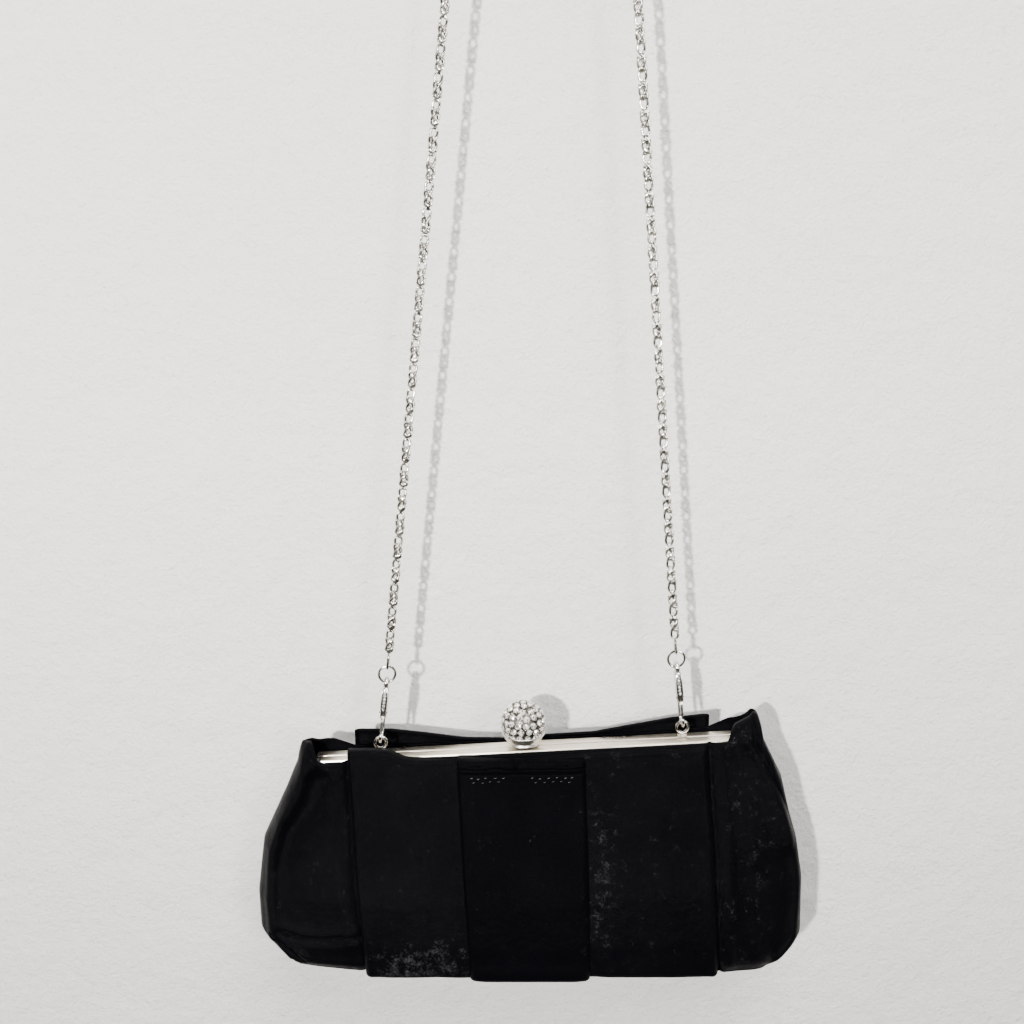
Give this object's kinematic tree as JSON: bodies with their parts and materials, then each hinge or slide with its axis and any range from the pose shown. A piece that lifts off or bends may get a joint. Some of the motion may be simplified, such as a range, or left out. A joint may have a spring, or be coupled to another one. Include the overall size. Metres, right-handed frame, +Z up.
{
  "type": "evening bag",
  "caption": "Small satin clutch with a bow band round it, a hinged metal frame, a jewelled ball clasp and a clip-on chain strap.",
  "frame": {"origin": "the hang point: where the top of the chain loop rests on what holds it", "axes": "+Z up; -Y out of the front of the bag; +X to the viewer's right, along the level base"},
  "size_m": [0.242, 0.0517, 0.4716],
  "materials": {
    "black_satin": "satin weave, soft sheen",
    "lining_satin": "matt satin lining",
    "base_stiffener": "plain stiff board",
    "champagne_metal": "pale gold plate, satin polished",
    "silver_metal": "silver plate, polished",
    "crystal": "clear cut stones in silver settings"
  },
  "bodies": {
    "strap": {"chain_strap": "silver_metal", "left_end_link": "silver_metal", "right_end_link": "silver_metal"},
    "left_ring": {"left_ring": "silver_metal"},
    "left_clip": {"left_clip": "silver_metal", "left_gate_pin": "silver_metal", "left_clip_stones": "crystal"},
    "left_gate": {"left_gate": "silver_metal"},
    "right_ring": {"right_ring": "silver_metal"},
    "right_clip": {"right_clip": "silver_metal", "right_gate_pin": "silver_metal", "right_clip_stones": "crystal"},
    "right_gate": {"right_gate": "silver_metal"},
    "bag": {"back_frame": "champagne_metal", "left_lug": "champagne_metal", "right_lug": "champagne_metal", "left_hinge_pin": "champagne_metal", "right_hinge_pin": "champagne_metal", "clasp_bracket": "champagne_metal", "clasp_pin": "champagne_metal", "back_panel": "black_satin", "base_panel": "black_satin", "base_board": "base_stiffener", "left_gusset": "black_satin", "right_gusset": "black_satin", "back_band": "black_satin", "base_band": "black_satin", "front_band_lower": "black_satin", "knot_lower": "black_satin", "front_panel_lower": "black_satin", "back_lining": "lining_satin", "front_lining_lower": "lining_satin", "base_lining": "lining_satin", "left_lining": "lining_satin", "right_lining": "lining_satin", "inner_pocket": "lining_satin", "front_panel_fold": "black_satin", "front_band_fold": "black_satin", "knot_fold": "black_satin", "front_lining_fold": "lining_satin", "left_side_fold": "black_satin", "right_side_fold": "black_satin"},
    "front_half": {"front_frame": "champagne_metal", "front_panel_upper": "black_satin", "front_band_upper": "black_satin", "knot_upper": "black_satin", "front_lining_upper": "lining_satin"},
    "clasp": {"clasp_ball": "crystal", "clasp_cup": "silver_metal", "clasp_lever": "silver_metal"}
  },
  "joints": [
    {"name": "left_ring_swing", "type": "hinge", "parent": "strap", "child": "left_ring", "pos_m": [-0.0621, 0, -0.33713], "axis": [0.9985, 0, 0.0544], "range_deg": [-40, 40]},
    {"name": "right_ring_swing", "type": "hinge", "parent": "strap", "child": "right_ring", "pos_m": [0.0621, 0, -0.33037], "axis": [0.9985, 0, 0.0544], "range_deg": [-40, 40]},
    {"name": "left_clip_swing", "type": "hinge", "parent": "left_ring", "child": "left_clip", "pos_m": [-0.0621, 0, -0.34423], "axis": [0.9985, 0, 0.0544], "range_deg": [-40, 40]},
    {"name": "right_clip_swing", "type": "hinge", "parent": "right_ring", "child": "right_clip", "pos_m": [0.0621, 0, -0.33747], "axis": [0.9985, 0, 0.0544], "range_deg": [-40, 40]},
    {"name": "bag_swing", "type": "hinge", "parent": "left_clip", "child": "bag", "pos_m": [-0.0651, 0, -0.36725], "axis": [0.9985, 0, 0.0544], "range_deg": [-40, 40]},
    {"name": "frame_hinge", "type": "hinge", "parent": "bag", "child": "front_half", "pos_m": [0, 0, -0.406], "axis": [0.9985, 0, 0.0544], "range_deg": [0, 55], "deforming": ["front_panel_fold", "front_band_fold", "knot_fold", "front_lining_fold", "left_side_fold", "right_side_fold"]},
    {"name": "clasp_tilt", "type": "hinge", "parent": "bag", "child": "clasp", "pos_m": [-0.0035, 0.0085, -0.37128], "axis": [0.9985, 0, 0.0544], "range_deg": [-18, 0], "stiffness_Nm_per_rad": 0.02, "springref_deg": 5.73},
    {"name": "left_gate_swing", "type": "hinge", "parent": "left_clip", "child": "left_gate", "pos_m": [-0.0639, -0.0014, -0.35738], "axis": [0.9979, 0, -0.0641], "range_deg": [0, 25], "stiffness_Nm_per_rad": 0.002, "springref_deg": -11.46},
    {"name": "right_gate_swing", "type": "hinge", "parent": "right_clip", "child": "right_gate", "pos_m": [0.0639, -0.0014, -0.35041], "axis": [0.9853, 0, 0.1707], "range_deg": [0, 25], "stiffness_Nm_per_rad": 0.002, "springref_deg": -11.46}
  ],
  "couplings": [
    {"joint": "right_ring_swing", "follows": "left_ring_swing", "ratio": 1},
    {"joint": "right_clip_swing", "follows": "left_clip_swing", "ratio": 1}
  ]
}
